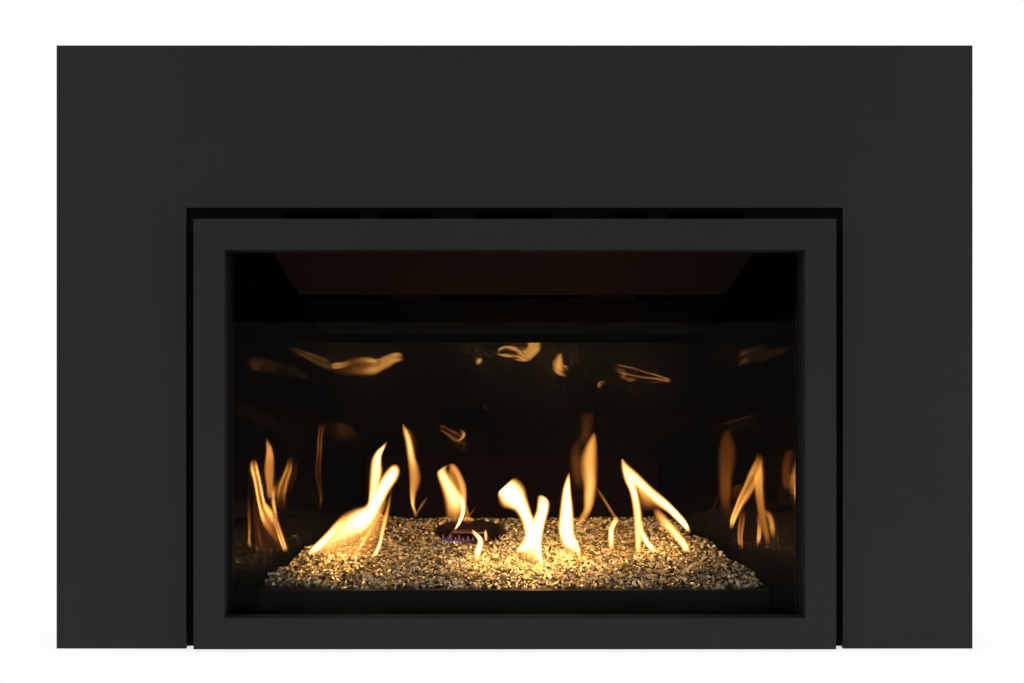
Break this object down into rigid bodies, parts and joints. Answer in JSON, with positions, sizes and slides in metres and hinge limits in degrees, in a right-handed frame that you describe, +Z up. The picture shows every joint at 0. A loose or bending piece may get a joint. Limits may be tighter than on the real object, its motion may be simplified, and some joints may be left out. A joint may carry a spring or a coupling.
{
  "type": "gas fireplace insert",
  "caption": "Gas fireplace insert: charcoal three-sided surround, plain face frame, glazed firebox with gloss black liner, bed of crushed fire glass, blower and rear gas controls.",
  "frame": {"origin": "centre of the overall box in plan, on the hearth floor", "axes": "+X to the viewer's right, +Y from the viewer to the back, +Z up"},
  "size_m": [1.0414, 0.42, 0.6858],
  "materials": {
    "surround_paint": "satin charcoal powder coat",
    "face_paint": "satin charcoal powder coat",
    "black_paint": "matte black high-temperature paint",
    "window_glass": "clear ceramic glass, polished",
    "gasket_fibre": "woven glass-fibre tape",
    "zinc_steel": "zinc plated",
    "magnet_nickel": "nickel plated",
    "casing_steel": "aluminised sheet",
    "screw_steel": "zinc plated",
    "firebox_paint": "matte black, heat stained",
    "liner_gloss": "gloss black enamel",
    "baffle_paint": "heat-browned matte paint",
    "tray_paint": "matte black",
    "burner_steel": "oxidised",
    "fire_glass": "crushed tempered glass",
    "pilot_steel": "heat tinted",
    "electrode_ceramic": "glazed",
    "brass_fitting": "machined",
    "valve_aluminium": "die cast",
    "knob_plastic": "fine texture",
    "flex_steel": "corrugated stainless",
    "lever_paint": "dipped red",
    "switch_plastic": "moulded",
    "button_plastic": "moulded red",
    "rotor_aluminium": "mill",
    "motor_paint": "black lacquer",
    "vent_aluminium": "rolled"
  },
  "bodies": {
    "insert": {"air_inlet_collar": "vent_aluminium", "blower_housing": "casing_steel", "blower_motor": "motor_paint", "burner_pan": "burner_steel", "burner_tray": "tray_paint", "casing_back": "casing_steel", "casing_base": "casing_steel", "casing_left_side": "casing_steel", "casing_right_side": "casing_steel", "casing_screws": "screw_steel", "casing_top": "casing_steel", "ceiling_baffle": "baffle_paint", "combustion_air_duct": "casing_steel", "exhaust_collar": "vent_aluminium", "fire_glass_bed": "fire_glass", "firebox_back_wall": "firebox_paint", "firebox_floor": "firebox_paint", "firebox_left_wall": "firebox_paint", "firebox_right_wall": "firebox_paint", "firebox_top": "firebox_paint", "flame_sensor": "pilot_steel", "frame_magnets": "magnet_nickel", "front_plate": "black_paint", "gas_flex_line": "flex_steel", "gas_valve": "valve_aluminium", "igniter_body": "switch_plastic", "latch_brackets": "zinc_steel", "leaning_reflector": "liner_gloss", "left_liner": "liner_gloss", "lower_back_liner": "firebox_paint", "magnet_posts": "black_paint", "mixer_tube": "brass_fitting", "pilot_hood": "pilot_steel", "power_inlet": "switch_plastic", "right_liner": "liner_gloss", "shutoff_valve": "brass_fitting", "spark_electrode": "electrode_ceramic", "surround_brackets": "zinc_steel", "surround_panel": "surround_paint", "switch_box": "switch_plastic", "upper_back_strip": "liner_gloss", "valve_bracket": "zinc_steel", "window_frame": "black_paint", "window_gasket": "gasket_fibre", "window_glass": "window_glass", "window_ledge": "black_paint"},
    "face": {"face_frame": "face_paint"},
    "latch_left": {"left_latch": "zinc_steel"},
    "latch_right": {"right_latch": "zinc_steel"},
    "gas_control": {"gas_knob": "knob_plastic"},
    "height_control": {"flame_height_knob": "knob_plastic"},
    "shutoff": {"shutoff_lever": "lever_paint"},
    "shutter": {"air_shutter": "brass_fitting"},
    "button": {"igniter_button": "button_plastic"},
    "switch": {"rocker": "knob_plastic"},
    "speed_control": {"blower_speed_knob": "knob_plastic"},
    "rotor": {"blower_rotor": "rotor_aluminium"},
    "flap_left": {"left_relief_flap": "zinc_steel"},
    "flap_right": {"right_relief_flap": "zinc_steel"}
  },
  "joints": [
    {"name": "face_frame_pull", "type": "slide", "parent": "insert", "child": "face", "axis": [0, -1, 0], "range_m": [0, 0.15]},
    {"name": "left_latch_swing", "type": "hinge", "parent": "insert", "child": "latch_left", "pos_m": [-0.2, -0.18, 0.4768], "axis": [-1, 0, 0], "range_deg": [0, 25], "stiffness_Nm_per_rad": 0.05, "springref_deg": -20.05},
    {"name": "right_latch_swing", "type": "hinge", "parent": "insert", "child": "latch_right", "pos_m": [0.2, -0.18, 0.4768], "axis": [-1, 0, 0], "range_deg": [0, 25], "stiffness_Nm_per_rad": 0.05, "springref_deg": -20.05},
    {"name": "gas_knob_turn", "type": "hinge", "parent": "insert", "child": "gas_control", "pos_m": [0.3505, -0.14, 0.072], "axis": [0, -1, 0], "range_deg": [0, 180]},
    {"name": "flame_height_knob_turn", "type": "hinge", "parent": "insert", "child": "height_control", "pos_m": [0.3505, -0.14, 0.112], "axis": [0, -1, 0], "range_deg": [0, 240]},
    {"name": "shutoff_lever_turn", "type": "hinge", "parent": "insert", "child": "shutoff", "pos_m": [0.262, 0.168, 0.0555], "axis": [0, 0, -1], "range_deg": [0, 90]},
    {"name": "air_shutter_turn", "type": "hinge", "parent": "insert", "child": "shutter", "pos_m": [0.286, -0.04, 0.0572], "axis": [1, 0, 0], "range_deg": [0, 60]},
    {"name": "igniter_button_push", "type": "slide", "parent": "insert", "child": "button", "axis": [0, 1, 0], "range_m": [0, 0.004], "stiffness_N_per_m": 400, "springref_m": -0.002},
    {"name": "rocker_tilt", "type": "hinge", "parent": "insert", "child": "switch", "pos_m": [-0.3505, -0.1735, 0.082], "axis": [1, 0, 0], "range_deg": [-8, 8]},
    {"name": "blower_speed_turn", "type": "hinge", "parent": "insert", "child": "speed_control", "pos_m": [-0.3505, -0.16, 0.124], "axis": [0, 1, 0], "range_deg": [0, 270]},
    {"name": "blower_spin", "type": "hinge", "parent": "insert", "child": "rotor", "pos_m": [-0.04, 0.17, 0.042], "axis": [1, 0, 0], "continuous": true},
    {"name": "left_flap_lift", "type": "hinge", "parent": "insert", "child": "flap_left", "pos_m": [-0.17, -0.067, 0.4725], "axis": [-1, 0, 0], "range_deg": [0, 25]},
    {"name": "right_flap_lift", "type": "hinge", "parent": "insert", "child": "flap_right", "pos_m": [0.17, -0.067, 0.4725], "axis": [-1, 0, 0], "range_deg": [0, 25]}
  ]
}
